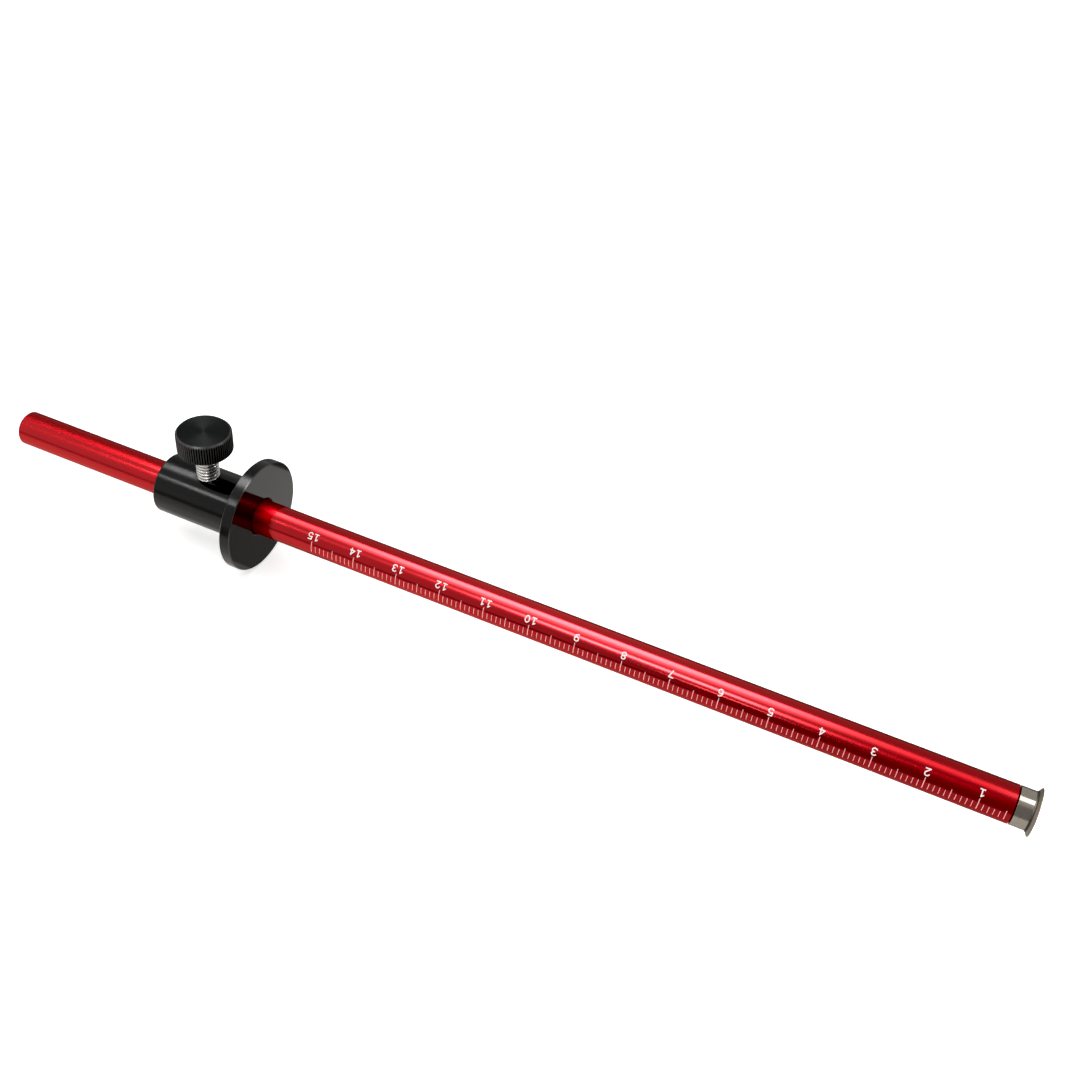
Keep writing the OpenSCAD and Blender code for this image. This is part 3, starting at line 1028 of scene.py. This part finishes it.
area("fill", -0.9, 0.7, -0.7, 0.9, 1.3, 2.0, diffuse=True, glossy=False)
area(
    "box_main", -0.345, 0.175, -0.20, 0.28, 0.61, 17.0,
    [(x, w / 17.0) for x, w in (
        (-0.345, 3.0), (-0.337, 3.2), (-0.309, 4.4), (-0.289, 8.2), (-0.269, 10.4),
        (-0.248, 12), (-0.228, 14), (-0.187, 15), (-0.147, 16.3), (-0.065, 17), (-0.025, 14.5), (0.016, 11.4), (0.036, 9.2),
        (0.057, 5.5), (0.077, 2.9), (0.097, 1.5), (0.138, 0.8), (0.175, 0.6),
    )],
    [(-0.20, 0.0), (-0.143, 0.10), (-0.10, 0.20), (-0.057, 0.36), (-0.02, 0.52), (0.03, 0.80), (0.08, 1.0), (0.22, 1.0), (0.24, 0.8), (0.26, 0.35), (0.28, 0.0)],
)
area(
    "box_collar", -0.447, -0.345, -0.10, 0.28, 0.61, 24.0,
    [(-0.447, 0.0), (-0.436, 0.04), (-0.428, 0.75), (-0.422, 1.0), (-0.415, 0.5), (-0.409, 0.02), (-0.384, 0.02), (-0.374, 0.7), (-0.355, 0.75), (-0.345, 0.25)],
    [(-0.10, 0.0), (-0.05, 0.15), (-0.015, 0.55), (0.03, 0.9), (0.07, 1.0), (0.15, 1.0), (0.20, 0.6), (0.25, 0.22), (0.28, 0.0)],
)
area("box_right", 0.182, 0.34, -0.085, 0.18, 0.61, 3.3)
area("box_left", -0.80, -0.447, -0.20, 0.45, 0.61, 0.22, None, [(-0.20, 0.0), (0.10, 0.8), (0.20, 1.0), (0.45, 0.0)])
area(
    "shoulder", -0.42, 0.19, -1.0, -0.10, 0.62, 1.1,
    [(-0.42, 0.0), (-0.35, 0.1), (-0.28, 0.2), (-0.20, 0.6), (-0.15, 0.87), (-0.12, 1.0), (-0.02, 1.0), (0.02, 0.8), (0.05, 0.5), (0.08, 0.22), (0.12, 0.06), (0.19, 0.0)],
    [(-1.0, 0.0), (-0.9, 0.3), (-0.6, 0.8), (-0.35, 1.0), (-0.10, 1.0)],
)
area("shoulder_right", 0.155, 0.34, -0.48, -0.085, 0.62, 0.7, None, [(-0.48, 0.0), (-0.25, 0.5), (-0.085, 1.0)])
area(
    "strip", -0.56, 0.077, -0.56, -0.37, 0.615, 18.0,
    [(x, w / 18.0) for x, w in (
        (-0.56, 0.1), (-0.524, 0.1), (-0.513, 6), (-0.50, 11), (-0.485, 12), (-0.468, 15), (-0.458, 9), (-0.448, 0.3), (-0.30, 0.3), (-0.27, 0.5), (-0.25, 1.0), (-0.232, 2.6), (-0.208, 5.2),
        (-0.185, 8.6), (-0.161, 13.5), (-0.137, 16), (-0.113, 18), (-0.018, 17.6), (0.0056, 13.5), (0.029, 4.6), (0.053, 1.2), (0.077, 0.2),
    )],
)
area("glint", -0.112, -0.018, -1.17, -1.0, 0.61, 8.0)
area("edge", 0.70, 0.86, 0.08, 0.34, 0.61, 18.0)

world = bpy.data.worlds.new("studio")
bpy.context.scene.world = world
world.use_nodes = True
k = Nodes(world.node_tree)
x, y, z = k.xyz(k.tc.outputs["Generated"])
t = k.span(x, -0.6, 0.2, 0.0, 1.0)


def grey(*stops):
    return k.ramp(t, [(p, (v, v, v * 0.985)) for p, v in stops])


front = grey((0.0, 1.0), (0.1, 0.95), (0.275, 0.80), (0.5, 0.62), (0.625, 0.30), (0.725, 0.24), (1.0, 0.24))
rear = grey((0.0, 0.42), (0.125, 0.45), (0.275, 0.63), (0.4375, 0.90), (0.625, 0.74), (0.81, 0.53), (1.0, 0.48))
bg = world.node_tree.nodes["Background"]
k.put(bg.inputs["Color"], k.mix(k.span(y, -0.15, 0.15, 0.0, 1.0), front, rear))
bg.inputs["Strength"].default_value = 1.0

cam_data = bpy.data.cameras.new("camera")
cam = bpy.data.objects.new("camera", cam_data)
bpy.context.scene.collection.objects.link(cam)
right, up = Vector((0.90701, 0.4142, 0.0771)), Vector((-0.33067, 0.5868, 0.7391))
right.normalize()
up = (up - right * up.dot(right)).normalized()
back = right.cross(up)
cam.matrix_world = Matrix((
    (right[0], up[0], back[0], 0.077216), (right[1], up[1], back[1], -0.172583), (right[2], up[2], back[2], 0.199966), (0, 0, 0, 1),
))
cam_data.sensor_width = 36.0
cam_data.lens = 1303.8 * 36.0 / 1080.0
cam_data.clip_start, cam_data.clip_end = 0.01, 20.0
bpy.context.scene.camera = cam

view = bpy.context.scene.view_settings
view.view_transform = "Standard"
view.use_curve_mapping = True
view.curve_mapping.black_level = (0.008, 0.008, 0.008)
view.curve_mapping.update()
